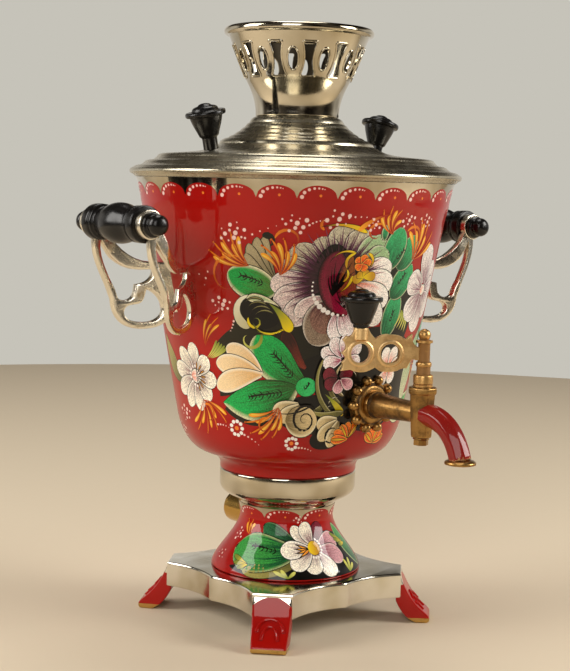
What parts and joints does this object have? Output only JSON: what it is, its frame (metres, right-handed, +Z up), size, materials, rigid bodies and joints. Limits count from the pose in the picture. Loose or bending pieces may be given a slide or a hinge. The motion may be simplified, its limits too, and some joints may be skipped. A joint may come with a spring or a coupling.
{
  "type": "electric samovar",
  "caption": "Tapered electric samovar on a pedestal and cast feet, with a pierced crown on its lid, turned handles on fretwork arms and a plug tap with a fretwork key.",
  "frame": {"origin": "centre of the footprint box on the table", "axes": "+Z up along the body axis, -Y towards the tap, +X to the right seen from the tap's side"},
  "size_m": [0.3006, 0.2806, 0.3938],
  "materials": {
    "nickel": "warm nickel plate, brushed on the lid and polished elsewhere",
    "enamel": "glossy red enamel with painted flowers",
    "bronze": "cast bronze with a dark patina",
    "brass": "cast and machined brass, dulled",
    "steel": "zinc-plated steel",
    "black": "glossy black phenolic",
    "rubber": "matt black rubber",
    "ceramic": "cream steatite",
    "sleeving": "woven glass sleeving"
  },
  "bodies": {
    "samovar": {"base_casting": "nickel", "neck_ring": "nickel", "body_shell": "enamel", "pedestal": "enamel", "tap_rosette": "bronze", "tap_back_nut": "bronze", "tap_body": "bronze", "handle_arm_left_front": "brass", "handle_arm_left_rear": "brass", "handle_arm_right_front": "brass", "handle_arm_right_rear": "brass", "arm_screw_left_front_1": "brass", "arm_screw_left_front_2": "brass", "arm_screw_left_rear_1": "brass", "arm_screw_left_rear_2": "brass", "arm_screw_right_front_1": "brass", "arm_screw_right_front_2": "brass", "arm_screw_right_rear_1": "brass", "arm_screw_right_rear_2": "brass", "power_inlet_shroud": "brass", "contact_pin_left": "brass", "contact_pin_right": "brass", "bottom_cover": "steel", "tie_stud": "steel", "tie_nut": "steel", "heater_element": "steel", "heater_nut_left": "steel", "heater_nut_right": "steel", "grip_rod_left": "steel", "grip_rod_right": "steel", "handle_grip_left": "black", "handle_grip_right": "black", "grip_cap_left_front": "black", "grip_cap_left_rear": "black", "grip_cap_right_front": "black", "grip_cap_right_rear": "black", "heater_gasket_left": "rubber", "heater_gasket_right": "rubber", "tap_gasket": "rubber", "inlet_insulator": "ceramic", "inlet_lead_left": "sleeving", "inlet_lead_right": "sleeving"},
    "lid": {"lid": "nickel", "crown": "nickel", "crown_screw": "steel", "crown_nut": "steel", "lid_knob_left": "black", "lid_knob_right": "black", "lid_knob_screw_left": "steel", "lid_knob_screw_right": "steel"},
    "key": {"tap_plug": "bronze", "plug_washer": "bronze", "plug_nut": "bronze", "tap_key": "bronze", "key_knob": "black", "key_knob_pin": "steel"}
  },
  "joints": [
    {"name": "lid_lift", "type": "slide", "parent": "samovar", "child": "lid", "axis": [0, 0, 1], "range_m": [0, 0.12]},
    {"name": "tap_key_turn", "type": "hinge", "parent": "samovar", "child": "key", "pos_m": [0, -0.09706, 0.154], "axis": [0, 0, 1], "range_deg": [0, 90]}
  ]
}
